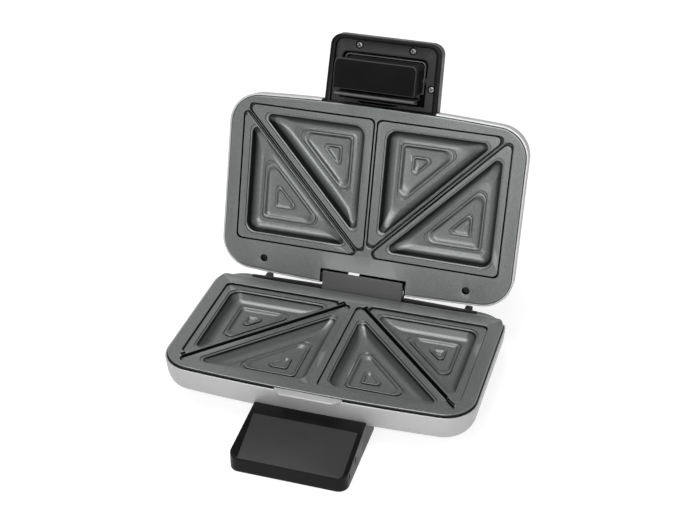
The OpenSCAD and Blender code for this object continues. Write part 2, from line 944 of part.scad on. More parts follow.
lower_casing();
bottom_cover();
rubber_feet();
bottom_screws();
lower_plate();
lower_plate_screws();
lower_heating_element();
lower_element_clips();
lower_reflector();
thermostat();
thermal_fuse();
terminal_block();
base_wiring();
cord_inlet();
hinge_shield();
hinge_block();
hinge_block_screws();
hinge_pin();
rear_stand_posts();
lower_handle();
lower_handle_base();
lower_handle_screws();
lid_casing();
upper_plate();
upper_plate_screws();
upper_heating_element();
upper_element_clips();
upper_reflector();
lid_hinge_cover();
lid_hinge_brackets();
lid_handle_cover();
lid_handle_panel();
lid_handle_screws();
ready_lens_green();
power_lens_red();
lamp_board();
latch_pin();
latch_lever();
latch_washers();
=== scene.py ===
"""Sandwich toaster: detailed pieces, materials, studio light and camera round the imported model."""

import json
import math

import bmesh
import bpy
import numpy as np
from mathutils import Matrix, Vector
from mathutils.geometry import delaunay_2d_cdt


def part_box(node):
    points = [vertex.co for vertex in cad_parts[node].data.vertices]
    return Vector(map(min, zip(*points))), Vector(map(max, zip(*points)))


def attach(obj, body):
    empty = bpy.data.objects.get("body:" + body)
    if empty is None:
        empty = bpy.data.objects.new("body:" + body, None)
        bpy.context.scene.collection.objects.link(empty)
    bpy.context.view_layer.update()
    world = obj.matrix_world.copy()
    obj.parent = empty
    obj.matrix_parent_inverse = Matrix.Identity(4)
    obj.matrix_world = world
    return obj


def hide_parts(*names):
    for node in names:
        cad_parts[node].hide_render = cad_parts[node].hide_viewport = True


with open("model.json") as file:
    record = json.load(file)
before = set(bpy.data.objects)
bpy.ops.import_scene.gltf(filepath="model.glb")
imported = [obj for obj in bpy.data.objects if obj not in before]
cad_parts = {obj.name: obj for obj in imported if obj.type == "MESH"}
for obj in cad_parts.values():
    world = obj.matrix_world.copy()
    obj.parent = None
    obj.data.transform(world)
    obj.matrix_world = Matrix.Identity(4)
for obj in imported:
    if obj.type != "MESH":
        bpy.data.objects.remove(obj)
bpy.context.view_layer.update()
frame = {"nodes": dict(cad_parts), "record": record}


def cad_box(node):
    """Lowest and highest corner of a CAD node, in millimetres of the row frame, to a tenth."""
    return [[round(1000 * v, 1) for v in corner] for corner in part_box(node)]


# Lengths are millimetres in the plate frame: x = 0 is the middle, y = 0 the front edge of the
# compartments and z = 0 the plane where the plates meet. Depths are measured from that plane.

# Compartments, and the rib between them
COMP_W = 122.5
GRID_D = 128.0
RIB_HALF = 2.5

# Plates: depth of the face and of the back of the rim, edges of a compartment to its pockets, screw
FACE_DEPTH = 0.2
RIM_DEPTH = 4.2
POCKET_SIDE = 8.0
POCKET_FRONT = 7.5
PLATE_SCREW = (97.1, 144.6)

# Plan of plates and casings, its corners and bowed sides
PLATE_LOW, PLATE_HIGH = cad_box("lower_plate")
HALF_W = PLATE_HIGH[0]
FRONT_Y = -11.3
BACK_Y = 158.0
CORNER_R = 27.0
SMALLEST_CORNER_R = 4.0
FRONT_BOW_R = 1900.0
BACK_BOW_R = 2000.0
BEYOND_BACK = 190.0

# Casings: how far they stand out from the plates, and the lid's height
CASING_GROW = 2.2
LID_H = 31.0

# Middle of the object and height of the plane between the plates, in the row frame
MIDDLE_Y = PLATE_LOW[1] - FRONT_Y
PARTING_H = PLATE_HIGH[2] + FACE_DEPTH

# Hinge: opening angle and axis, and half widths of the cover and the shield
LID_HINGE = next(j for j in frame["record"]["behaviour"]["joints"] if j["name"] == "lid_hinge")
OPEN_ANGLE = LID_HINGE["range_deg"][1]
HINGE_Y = 1000 * LID_HINGE["pos_m"][1] - MIDDLE_Y
HINGE_Z = 1000 * LID_HINGE["pos_m"][2] - PARTING_H
COVER_HW = cad_box("lid_hinge_cover")[1][0]
SHIELD_HW = cad_box("hinge_shield")[1][0]

# Which way the open lid's plate looks
LID_FACE = (0, -math.sin(math.radians(OPEN_ANGLE)), -math.cos(math.radians(OPEN_ANGLE)))

# Handles: front edges, half width and root, and the lid handle's panel with its screws
HANDLE_Y = -72.5
HANDLE_HW = 52.0
HANDLE_ROOT_Y = -9.0
LOWER_HANDLE_Y = cad_box("lower_handle")[0][1] - MIDDLE_Y
PANEL_Z = 9.5
PANEL_SCREWS = [(24.7, -63.7), (44.5, -31.7)]


# ---- frames ----


def in_base(p):
    """Point of the base, from the plate frame to metres in the row frame."""
    return (p[0] / 1000, (p[1] + MIDDLE_Y) / 1000, (p[2] + PARTING_H) / 1000)


def in_lid(p):
    """Point of the open lid, given where it is with the lid closed."""
    a = math.radians(-OPEN_ANGLE)
    dy, dz = p[1] - HINGE_Y, p[2] - HINGE_Z
    y = HINGE_Y + dy * math.cos(a) - dz * math.sin(a)
    z = HINGE_Z + dy * math.sin(a) + dz * math.cos(a)
    return in_base((p[0], y, z))


# ---- outlines ----

BOW_STEPS = 26
CORNER_STEPS = 18
TRI_CORNER_STEPS = 12
TRI_SIDE_POINTS = 6
CIRCLE_POINTS = 28


def arc(cx, cy, r, a0, a1, n):
    """Points on an arc, angles in degrees, n + 1 of them."""
    a = np.radians(np.linspace(a0, a1, n + 1))
    return np.stack([cx + r * np.cos(a), cy + r * np.sin(a)], axis=1)


def body_outline(grow):
    """Plan of a plate or casing: bowed front and back, straight sides and round corners."""
    r = max(CORNER_R + grow, SMALLEST_CORNER_R)
    x = HALF_W + grow - r
    front_r, back_r = FRONT_BOW_R + grow, BACK_BOW_R + grow
    front_c = FRONT_Y - grow + front_r
    back_c = BACK_Y + grow - back_r
    front_y = front_c - math.sqrt((front_r - r) ** 2 - x * x)
    back_y = back_c + math.sqrt((back_r - r) ** 2 - x * x)
    front_a = math.degrees(math.atan2(front_y - front_c, x))
    back_a = math.degrees(math.atan2(back_y - back_c, x))
    return np.concatenate([
        arc(0, front_c, front_r, -180 - front_a, front_a, BOW_STEPS)[:-1],
        arc(x, front_y, r, front_a, 0, CORNER_STEPS),
        arc(x, back_y, r, 0, back_a, CORNER_STEPS)[:-1],
        arc(0, back_c, back_r, back_a, 180 - back_a, BOW_STEPS)[:-1],
        arc(-x, back_y, r, 180 - back_a, 180, CORNER_STEPS),
        arc(-x, front_y, r, 180, 180 - front_a, CORNER_STEPS)[:-1],
    ])


def round_rect(x0, x1, y0, y1, radii, n=10):
    """Rectangle with corner radii for front left, front right, back right and back left."""
    a, b, c, d = [max(r, 0.01) for r in radii]
    return np.concatenate([
        arc(x0 + a, y0 + a, a, 180, 270, n),
        arc(x1 - b, y0 + b, b, 270, 360, n),
        arc(x1 - c, y1 - c, c, 0, 90, n),
        arc(x0 + d, y1 - d, d, 90, 180, n),
    ])


def circle(cx, cy, r):
    return arc(cx, cy, r, 0, 360, CIRCLE_POINTS)[:-1]


def incentre(tri):
    """Centre and radius of the circle inside a triangle."""
    a, b, c = [np.array(p, float) for p in tri]
    la, lb, lc = np.linalg.norm(b - c), np.linalg.norm(c - a), np.linalg.norm(a - b)
    s = la + lb + lc
    cross = (b[0] - a[0]) * (c[1] - a[1]) - (b[1] - a[1]) * (c[0] - a[0])
    return (a * la + b * lb + c * lc) / s, abs(cross) / s


def tri_outline(tri, radii, inset):
    """Triangle moved in by inset, with round corners; the same number of points at any inset."""
    centre, r_in = incentre(tri)
    k = (r_in - inset) / r_in
    v = [centre + (np.array(p, float) - centre) * k for p in tri]
    corners = []
    for i in range(3):
        u, w = v[i] - v[i - 1], v[(i + 1) % 3] - v[i]
        u, w = u / np.linalg.norm(u), w / np.linalg.norm(w)
        a0 = math.degrees(math.atan2(u[1], u[0])) - 90
        a1 = math.degrees(math.atan2(w[1], w[0])) - 90
        turn = (a1 - a0) % 360
        half = math.radians(180 - turn) / 2
        way = (w - u) / np.linalg.norm(w - u)
        c = v[i] + way * radii[i] / math.sin(half)
        corners.append(arc(c[0], c[1], radii[i], a0, a0 + turn, TRI_CORNER_STEPS))
    out = []
    for i in range(3):
        a, b = corners[i][-1], corners[(i + 1) % 3][0]
        t = np.linspace(0, 1, TRI_SIDE_POINTS + 2)[1:-1, None]
        out += [corners[i], a + (b - a) * t]
    return np.concatenate(out)


def mirror_x(points):
    """Mirror image of an outline, kept anticlockwise."""
    return (points * [-1, 1])[::-1]


def both_sides(places):
    """Each place and its mirror image."""
    return [(side * x, y) for x, y in places for side in (1, -1)]


def soften(points, steps):
    """Polyline with rounded bends; each point gives its place and how far its bend reaches."""
    places = [np.array(p[:2], float) for p in points]
    out = [places[0]]
    for before, p, after, point in zip(places, places[1:], places[2:], points[1:]):
        u, w = before - p, after - p
        lu, lw = np.linalg.norm(u), np.linalg.norm(w)
        reach = min(point[2], lu * 0.48, lw * 0.48)
        a, b = p + u / lu * reach, p + w / lw * reach
        for t in np.linspace(0, 1, steps + 1):
            out.append((1 - t) ** 2 * a + 2 * t * (1 - t) * p + t * t * b)
    out.append(places[-1])
    return out


def lines_across(outline, heights):
    """A line across an outline at each y, ending just inside it."""
    sides = list(zip(outline, np.roll(outline, -1, axis=0)))
    lines = []
    for y in heights:
        xs = [a[0] + (y - a[1]) * (b[0] - a[0]) / (b[1] - a[1])
              for a, b in sides if (a[1] - y) * (b[1] - y) < 0]
        lines.append(((min(xs) + 0.02, y), (max(xs) - 0.02, y)))
    return lines


# ---- meshes ----


def ring(outline, z):
    """Outline at a height, or with one height per point."""
    z = np.full(len(outline), z, float) if np.isscalar(z) else np.asarray(z, float)
    return np.column_stack([outline, z])


class Shell:
    """Collects vertices and faces in millimetres."""

    def __init__(self):
        self.verts, self.faces, self.count = [], [], 0

    def add(self, verts, faces):
        verts = np.asarray(verts, float)
        self.verts.append(verts)
        self.faces += [tuple(i + self.count for i in f) for f in faces]
        self.count += len(verts)

    def loft(self, rings, start=False, end=False):
        """Quads between closed rings of equal length; start and end close the ends."""
        n, m = len(rings[0]), len(rings)
        faces = []
        for k in range(m - 1):
            for i in range(n):
                j = (i + 1) % n
                faces.append((k * n + i, k * n + j, (k + 1) * n + j, (k + 1) * n + i))
        if start:
            faces.append(tuple(range(n))[::-1])
        if end:
            faces.append(tuple((m - 1) * n + i for i in range(n)))
        self.add(np.concatenate(rings), faces)

    def flat(self, outer, holes, z, lines=()):
        """Flat face with holes, triangulated; lines are extra edges across it."""
        verts, edges = [], []
        for loop in [outer] + list(holes):
            k = len(verts)
            verts += [Vector(p) for p in loop]
            edges += [(k + i, k + (i + 1) % len(loop)) for i in range(len(loop))]
        for a, b in lines:
            edges.append((len(verts), len(verts) + 1))
            verts += [Vector(a), Vector(b)]
        points, _, faces, *_ = delaunay_2d_cdt(verts, edges, [], 0, 1e-6)
        points = np.array([p[:] for p in points])
        keep = []
        for f in faces:
            c = points[list(f)].mean(axis=0)
            if inside(outer, c) and not any(inside(h, c) for h in holes):
                keep.append(tuple(f))
        self.add(np.column_stack([points, np.full(len(points), z, float)]), keep)

    def move(self, way):
        """Passes every vertex through a function of an array of points."""
        self.verts = [way(v) for v in self.verts]

    def build(self, name, place, sharp=38):
        """Blender object with welded vertices and smooth shading between sharp edges."""
        verts = np.concatenate(self.verts)
        obj = add_mesh(name, [place(p) for p in verts], self.faces)
        clean(obj.data, sharp, 0.004)
        return obj


def add_mesh(name, verts, faces):
    """Object with a mesh, in the scene."""
    mesh = bpy.data.meshes.new(name)
    mesh.from_pydata(verts, [], faces)
    return add_object(name, mesh)


def add_object(name, data):
    obj = bpy.data.objects.new(name, data)
    bpy.context.scene.collection.objects.link(obj)
    return obj


def clean(mesh, sharp, weld=0.002):
    """Welds vertices closer than weld millimetres; shades smooth up to an angle of sharp degrees."""
    bm = bmesh.new()
    bm.from_mesh(mesh)
    bmesh.ops.remove_doubles(bm, verts=bm.verts, dist=weld / 1000)
    bmesh.ops.dissolve_degenerate(bm, edges=bm.edges, dist=1e-7)
    bmesh.ops.recalc_face_normals(bm, faces=bm.faces)
    bm.to_mesh(mesh)
    bm.free()
    mesh.polygons.foreach_set("use_smooth", [True] * len(mesh.polygons))
    mesh.set_sharp_from_angle(angle=math.radians(sharp))


def inside(loop, p):
    """Whether point p lies inside a closed loop."""
    a = np.asarray(loop)
    b = np.roll(a, -1, axis=0)
    over = (a[:, 1] > p[1]) != (b[:, 1] > p[1])
    with np.errstate(divide="ignore", invalid="ignore"):
        x = (b[:, 0] - a[:, 0]) * (p[1] - a[:, 1]) / (b[:, 1] - a[:, 1]) + a[:, 0]
    return bool(np.count_nonzero(over & (p[0] < x)) % 2)


def cut(obj, cutters, operation="DIFFERENCE"):
    """Applies booleans with helper objects, then removes the helpers."""
    for c in cutters:
        mod = obj.modifiers.new("cut", "BOOLEAN")
        mod.operation = operation
        mod.solver = "EXACT"
        mod.object = c
    bpy.context.view_layer.update()
    depsgraph = bpy.context.evaluated_depsgraph_get()
    mesh = bpy.data.meshes.new_from_object(obj.evaluated_get(depsgraph))
    obj.modifiers.clear()
    old = obj.data
    obj.data = mesh
    mesh.name = old.name
    bpy.data.meshes.remove(old)
    for c in cutters:
        bpy.data.objects.remove(c)
    clean(mesh, 38)


def box(p, q, place):
    """Plain box between two corners, to cut with."""
    verts = [(x, y, z) for x in (p[0], q[0]) for y in (p[1], q[1]) for z in (p[2], q[2])]
    faces = [(0, 1, 3, 2), (4, 6, 7, 5), (0, 4, 5, 1), (2, 3, 7, 6), (0, 2, 6, 4), (1, 5, 7, 3)]
    return add_mesh("cutter", [place(v) for v in verts], faces)


def prism(name, outline, z0, z1, bevel, place, segments=3):
    """Upright solid over an outline with all its edges rounded."""
    n = len(outline)
    verts = [place((x, y, z)) for z in (z0, z1) for x, y in outline]
    faces = [tuple(range(n))[::-1], tuple(range(n, 2 * n))]
    faces += [(i, (i + 1) % n, n + (i + 1) % n, n + i) for i in range(n)]
    obj = add_mesh(name, verts, faces)
    bm = bmesh.new()
    bm.from_mesh(obj.data)
    bmesh.ops.bevel(bm, geom=list(bm.edges), offset=bevel / 1000, segments=segments, profile=0.5,
                    affect="EDGES", clamp_overlap=True)
    bm.to_mesh(obj.data)
    bm.free()
    clean(obj.data, 50)
    return obj


def side_prism(name, outline, x0, x1, bevel, place, segments=3):
    """As prism, but drawn from the side: outline holds y and z, and x0 and x1 are its ends."""
    return prism(name, outline, x0, x1, bevel, lambda p: place((p[2], p[0], p[1])), segments)


# ---- materials ----


def linear(v):
    """Grey or colour given as it shows on screen, 0 to 255, to linear light."""
    v = np.clip(np.ones(3) * v, 1, 255) / 255
    return tuple(np.where(v <= 0.04045, v / 12.92, ((v + 0.055) / 1.055) ** 2.4))


class Nodes:
    """Node tree with helpers to add nodes and link them."""

    def __init__(self, tree):
        self.tree = tree

    def node(self, kind, **values):
        """New node; values are for its inputs, or else for its own settings."""
        n = self.tree.nodes.new(kind)
        for key, value in values.items():
            if key in n.inputs:
                n.inputs[key].default_value = value
            else:
                setattr(n, key, value)
        return n

    def link(self, a, b):
        self.tree.links.new(a, b)

    def feed(self, socket, value):
        """Links a socket to another one, or sets it to a value."""
        if isinstance(value, bpy.types.NodeSocket):
            self.link(value, socket)
        else:
            socket.default_value = value

    def ramp(self, fac, low, high, a=0.0, b=1.0):
        """Maps fac from low..high to a..b."""
        n = self.node("ShaderNodeMapRange")
        for key, value in (("From Min", low), ("From Max", high), ("To Min", a), ("To Max", b)):
            n.inputs[key].default_value = value
        self.link(fac, n.inputs["Value"])
        return n.outputs["Result"]

    def math(self, op, a, b):
        n = self.node("ShaderNodeMath", operation=op)
        self.feed(n.inputs[0], a)
        self.feed(n.inputs[1], b)
        return n.outputs[0]

    def join(self, kind, *sockets):
        """Shader node whose first inputs come from these sockets."""
        n = self.node(kind)
        for a, b in zip(sockets, n.inputs):
            self.link(a, b)
        return n.outputs[0] if n.outputs else None

    def white_rays(self):
        """1 for rays that see the backdrop: from the camera, in a mirror or through glass."""
        path = self.node("ShaderNodeLightPath")
        value = path.outputs["Is Camera Ray"]
        for name in ("Is Glossy Ray", "Is Transmission Ray"):
            value = self.math("MAXIMUM", value, path.outputs[name])
        return value


class Mat(Nodes):
    """Principled material; lengths in its noises and bumps are in metres."""

    def __init__(self, **sockets):
        self.mat = bpy.data.materials.new("finish")
        self.mat.use_nodes = True
        super().__init__(self.mat.node_tree)
        self.shader = self.tree.nodes["Principled BSDF"]
        coords = self.node("ShaderNodeTexCoord")
        self.coords, self.normal = coords.outputs["Object"], coords.outputs["Normal"]
        self.bumped = None
        for key, value in sockets.items():
            self.shader.inputs[key.replace("_", " ")].default_value = value

    def noise(self, scale, detail=3.0, roughness=0.55, stretch=None):
        """Noise in object space; scale is in cells per metre, times stretch along each axis."""
        place = self.coords
        if stretch:
            mapping = self.node("ShaderNodeMapping", Scale=stretch)
            self.link(place, mapping.inputs["Vector"])
            place = mapping.outputs["Vector"]
        n = self.node("ShaderNodeTexNoise", Scale=scale, Detail=detail, Roughness=roughness)
        self.link(place, n.inputs["Vector"])
        return n.outputs["Fac"]

    def mix(self, fac, a, b):
        """Colour between a and b, each a socket or a colour as it shows on screen."""
        n = self.node("ShaderNodeMix", data_type="RGBA")
        for key, value in (("A", a), ("B", b)):
            socket = [s for s in n.inputs if s.name == key and s.type == "RGBA"][0]
            self.feed(socket, value if isinstance(value, bpy.types.NodeSocket) else (*linear(value), 1))
        self.link(fac, n.inputs["Factor"])
        return [s for s in n.outputs if s.type == "RGBA"][0]

    def color(self, socket):
        self.link(socket, self.shader.inputs["Base Color"])

    def rough(self, socket):
        self.link(socket, self.shader.inputs["Roughness"])

    def bump(self, height, distance, strength):
        """Adds a bump on top of the earlier ones."""
        n = self.node("ShaderNodeBump", Distance=distance, Strength=strength)
        self.link(height, n.inputs["Height"])
        if self.bumped:
            self.link(self.bumped, n.inputs["Normal"])
        self.bumped = n.outputs["Normal"]
        self.link(self.bumped, self.shader.inputs["Normal"])

    def edges(self, low, high):
        """Mask of raised edges, lightened for rubbed wear and painted highlight; of hollow ones, darkened
        as painted shade, with low above high.
        """
        g = self.node("ShaderNodeNewGeometry")
        return self.ramp(g.outputs["Pointiness"], low, high)


def nonstick(grey, face, steep, rough=0.36):
    """Speckled satin coating on cast aluminium; walls steep to its face are darkened as painted shade."""
    m = Mat(Metallic=0.55, Specular_IOR_Level=0.5)
    turned = m.node("ShaderNodeVectorMath", operation="DOT_PRODUCT")
    m.link(m.normal, turned.inputs[0])
    turned.inputs[1].default_value = face
    # How far a surface turns from the plate's face: steep walls get painted shade.
    flat = m.ramp(turned.outputs["Value"], steep, 0.93)
    speck = m.noise(1500, 2.0, 0.6)
    c = grey + np.array([-1.5, 0.8, 0.3])
    base = m.mix(m.ramp(m.noise(16), 0.35, 0.65), c - 4, c + 5)
    grain = m.mix(m.ramp(speck, 0.42, 0.66), base, c + 22)
    dark = m.mix(m.ramp(m.noise(2300, 1.0), 0.3, 0.42, 1, 0), grain, c - 20)
    # Raised edges lightened: rubbed wear and painted highlight.
    wear_and_highlight = m.mix(m.math("MULTIPLY", m.edges(0.507, 0.55), 0.6), dark, c + 55)
    # Steep walls darkened to a fifth of the grey, hollows to near black: painted shade.
    m.color(m.mix(m.edges(0.485, 0.43), m.mix(flat, c * 0.2, wear_and_highlight), 14))
    m.rough(m.ramp(speck, 0.3, 0.7, rough - 0.05, rough + 0.08))
    m.bump(speck, 0.00005, 0.4)
    m.bump(m.noise(420, 2.0), 0.00003, 0.25)
    return m.mat


def silver(grey):
    """Fine metallic lacquer."""
    m = Mat(Metallic=0.5, Specular_IOR_Level=0.4, Coat_Weight=0.1, Coat_Roughness=0.25)
    flake = m.noise(3200, 1.0)
    base = m.mix(m.ramp(m.noise(9, 2.0), 0.3, 0.7), grey - 3, grey + 3)
    tone = m.mix(m.ramp(flake, 0.4, 0.7), base, grey + 16)
    # Raised edges lightened towards 228: rubbed lacquer and painted highlight.
    m.color(m.mix(m.math("MULTIPLY", m.edges(0.53, 0.6), 0.3), tone, 228))
    m.rough(m.ramp(m.noise(60), 0.3, 0.7, 0.46, 0.54))
    m.bump(flake, 0.00002, 0.35)
    return m.mat


def plastic(color, rough, grain=0.0, spread=5, scale=1400, wear_and_highlight=14, shine=0.5):
    """Moulded plastic: gloss with faint waviness, or a spark-eroded matt grain."""
    c = np.ones(3) * color
    m = Mat(Specular_IOR_Level=shine)
    base = m.mix(m.ramp(m.noise(22), 0.3, 0.7), c - spread / 2, c + spread)
    # Raised edges lightened by the given amount: rubbed wear and painted highlight.
    m.color(m.mix(m.math("MULTIPLY", m.edges(0.52, 0.6), 0.35), base, c + wear_and_highlight))
    m.rough(m.ramp(m.noise(90, 4.0), 0.3, 0.7, rough - 0.04, rough + 0.07))
    m.bump(m.noise(scale, 2.0), 0.00003 if grain == 0 else 0.00005, max(grain, 0.08))
    return m.mat


def steel(grey, rough, stretch=None, tint=(0, 0, 0), metal=1.0):
    """Bare or plated steel with fine drawn marks."""
    c = grey + np.array(tint)
    m = Mat(Metallic=metal)
    marks = m.noise(900, 3.0, 0.6, stretch)
    base = m.mix(m.ramp(m.noise(40), 0.3, 0.7), c - 10, c + 8)
    drawn = m.mix(m.ramp(marks, 0.35, 0.65, 0, 0.5), base, c - 28)
    # Hollows, such as the cross recesses of screw heads, darkened to near black: painted shade.
    m.color(m.mix(m.edges(0.49, 0.45), drawn, 20))
    m.rough(m.ramp(marks, 0.3, 0.7, rough - 0.06, rough + 0.14))
    m.bump(marks, 0.00002, 0.3)
    return m.mat


def tinted(color):
    """Tinted clear plastic with a moulded prism pattern inside."""
    c = np.array(color)
    m = Mat(Transmission_Weight=0.45, IOR=1.49, Roughness=0.12)
    pattern = m.noise(700, 1.0)
    m.color(m.mix(m.ramp(pattern, 0.4, 0.6), c, c * 1.15 + 10))
    m.bump(pattern, 0.00003, 0.2)
    return m.mat


MATERIALS = {
    "casing_silver": silver(174),
    # Both plates have the same coating; their greys are set apart to even out how differently the light
    # falls on them, so painted light and shade.
    "nonstick_upper": nonstick(107, LID_FACE, 0.42),
    "nonstick_lower": nonstick(117, (0, 0, 1), 0.4),
    # The edge lightening of these plastics, rubbed wear and painted highlight, is strongest on the latch.
    "black_plastic": plastic(9, 0.36, wear_and_highlight=60, shine=0.12),
    "dark_plastic_panel": plastic(46, 0.5, 0.35, spread=4, scale=2600, wear_and_highlight=20, shine=0.2),
    "latch_black": plastic(14, 0.4, wear_and_highlight=170, shine=0.05),
    "foot_rubber": plastic(32, 0.75, 0.5),
    "screw_steel": steel(170, 0.34, metal=0.5),
    "plate_screw_steel": steel(52, 0.45, metal=0.5),
    "element_steel": steel(120, 0.45, tint=(8, 2, -8)),
    "clip_steel": steel(180, 0.35),
    "reflector_aluminium": steel(205, 0.3, (1, 12, 12)),
    "ceramic_body": plastic((204, 197, 183), 0.55, 0.3),
    "fuse_sleeve": plastic((212, 205, 192), 0.85, 0.6, spread=8, scale=3000),
    "terminal_white": plastic((226, 222, 210), 0.4, 0.1),
    "lead_insulation": plastic((178, 66, 40), 0.45, 0.1),
    "hinge_grey": plastic(68, 0.4, 0.12, spread=4, scale=2200, wear_and_highlight=60, shine=0.3),
    "hinge_black": plastic(18, 0.45, 0.2, shine=0.2),
    "pin_steel": steel(190, 0.2, (1, 20, 20)),
    "lens_green": tinted((52, 150, 74)),
    "lens_red": tinted((176, 38, 40)),
    "board_green": plastic((62, 106, 68), 0.5, 0.1),
    "washer_dark": plastic(26, 0.6, 0.2),
}
for slot, material in MATERIALS.items():
    material.name = slot
SLOT_OF = {s["node"]: s["material_slot"] for s in frame["record"]["subparts"]}


def finish_piece(obj, body, slot, *nodes):
    """Gives a piece its body, its material and the nodes that it stands for."""
    obj.data.materials.clear()
    obj.data.materials.append(MATERIALS[slot])
    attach(obj, body)
    if nodes:
        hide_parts(*nodes)


# ---- plates ----

# x / COMP_W + y / GRID_D is 1 on a compartment's diagonal, and falls by this per millimetre off it
DIAGONAL = math.hypot(1 / COMP_W, 1 / GRID_D)
FLANGE_RADII = [5.0, 4.2, 4.2]

# Corner radii of a pocket at each inset: inset, the two acute corners, the square corner
POCKET_RADII = [(-3, 5.6, 10.4), (0, 4.3, 9.6), (2, 4.0, 8.6), (7, 4.6, 5.6), (12.2, 6.2, 3.4),
                (16.4, 5.2, 3.0), (23.2, 3.3, 2.2), (25.2, 2.2, 1.6), (28.6, 0.5, 0.5)]

# Back of a pocket and a plate's edge, as inset or growth and depth
PAN = [(-0.9, RIM_DEPTH), (-0.8, 6.6), (0.2, 9.6), (3.0, 12.8), (7, 15.2)]
PLATE_EDGE = [(-1.6, FACE_DEPTH), (-1.0, FACE_DEPTH), (-0.55, 0.28), (-0.2, 0.55), (0, 0.95), (0, 4.0),
              (-0.6, RIM_DEPTH), (-4, RIM_DEPTH)]

# The lower plate's back drops below the lid's sweep: y and the drop of its face there
APRON = [(141.2, 0), (142, -0.1), (142.7, -0.5), (143.6, -1.25), (145, -2.4), (147, -4.0),
         (150, -4.35), (154, -4.8), (160, -5.4)]

# Slots beside the lower diagonals: side, distances from the diagonal's two ends and reach off it
SLOTS = [(1, 7.5, 19.7, 1.8, 5.2), (1, 158, 8.2, 0.9, 2.7), (-1, 5.5, 7.5, 1.3, 5.5)]


def corner_triangle(side, front, diagonal):
    """Right triangle in a compartment's front left corner, moved in from its three edges."""
    reach = 1 - diagonal * DIAGONAL
    x = COMP_W * (reach - front / GRID_D)
    y = GRID_D * (reach - side / COMP_W)
    return [(side, front), (x, front), (side, y)]


def pocket_outline(tri, inset):
    inset = min(inset, incentre(tri)[1] - 0.4)
    insets, acutes, squares = zip(*POCKET_RADII)
    acute, square = np.interp(inset, insets, acutes), np.interp(inset, insets, squares)
    return tri_outline(tri, [square, acute, acute], inset)


def placed(outline, place):
    """A compartment outline in one of its four places: right front, right back, left front, left back."""
    if place % 2:
        outline = np.array([COMP_W, GRID_D]) - outline
    outline = outline + [RIB_HALF, 0]
    return mirror_x(outline) if place > 1 else outline


def pocket_profile(top):
    """Section of a pocket from its flange, at depth top, to its middle.

    Each point is inset, depth and how far its bend is rounded."""
    flange = [(-2.0, top, 0), (-1.7, top, 0.05), (-1.4, top + 0.85, 0.2), (-0.6, top + 0.9, 0.35),
              (0.0, top + 1.3, 0.6), (0.45, top + 3.0, 1.3)]
    wall = [(2.0, 7.4, 1.4), (4.4, 10.2, 1.4), (7.2, 11.8, 1.1), (9.0, 12.0, 0.5)]
    outer_channel = [(11.4, 11.5, 0.1), (11.65, 12.3, 0.1), (12.2, 12.3, 0.1), (12.35, 11.0, 0.25)]
    outer_crest = [(13.1, 10.75, 0.4), (13.9, 11.1, 0.6), (15.6, 12.9, 0.9), (17.2, 13.3, 1.0),
                   (19.5, 13.45, 0.8)]
    inner_channel = [(22.3, 13.5, 0.1), (22.5, 14.0, 0.1), (22.95, 14.0, 0.1), (23.1, 12.5, 0.25)]
    inner_crest = [(23.8, 12.3, 0.3), (24.4, 12.6, 0.4), (25.8, 13.9, 0.6), (28.6, 14.1, 0)]
    return soften(flange + wall + outer_channel + outer_crest + inner_channel + inner_crest, 4)


def plate(sign, flange, diagonals, borders, rim, holes=()):
    """Cooking plate with four pockets; sign is +1 where depth is towards +z.

    flange: depth of the flanges round the pockets; diagonals: each pocket's distance from its diagonal;
    borders: each flange's distances from its three edges; rim: section of a flange's edge."""
    s = Shell()
    rims, backs = [], []
    for place in range(4):
        border = corner_triangle(*borders[place])
        pocket = corner_triangle(POCKET_SIDE, POCKET_FRONT, diagonals[place])
        rings = [ring(placed(tri_outline(border, FLANGE_RADII, inset), place), sign * depth)
                 for inset, depth in rim]
        rings += [ring(placed(pocket_outline(pocket, inset), place), sign * depth)
                  for inset, depth in pocket_profile(flange)]
        under = [ring(placed(pocket_outline(pocket, inset), place), sign * depth) for inset, depth in PAN]
        s.loft(rings, end=True)
        s.loft(under, end=True)
        rims.append(rings[0][:, :2])
        backs.append(under[0][:, :2])
    s.loft([ring(body_outline(grow), sign * depth) for grow, depth in PLATE_EDGE])
    s.flat(body_outline(PLATE_EDGE[-1][0]), backs, sign * RIM_DEPTH)
    face = body_outline(PLATE_EDGE[0][0])
    lines = lines_across(face, [y for y, _ in APRON[:-1]]) if sign < 0 else []
    s.flat(face, rims + list(holes), sign * FACE_DEPTH, lines=lines)
    return s


def bar_outline(side, start, end, lo, hi, radius):
    """Bar along a compartment's diagonal, lo to hi off it towards the outer back; side is 1 or -1."""
    origin = np.array([RIB_HALF, GRID_D])
    length = math.hypot(COMP_W, GRID_D)
    way = np.array([COMP_W, -GRID_D]) / length
    off = np.array([-way[1], way[0]])
    o = round_rect(start, length - end, lo, hi, [radius] * 4, 6)
    o = origin + o[:, :1] * way + o[:, 1:] * off
    return o if side > 0 else mirror_x(o)


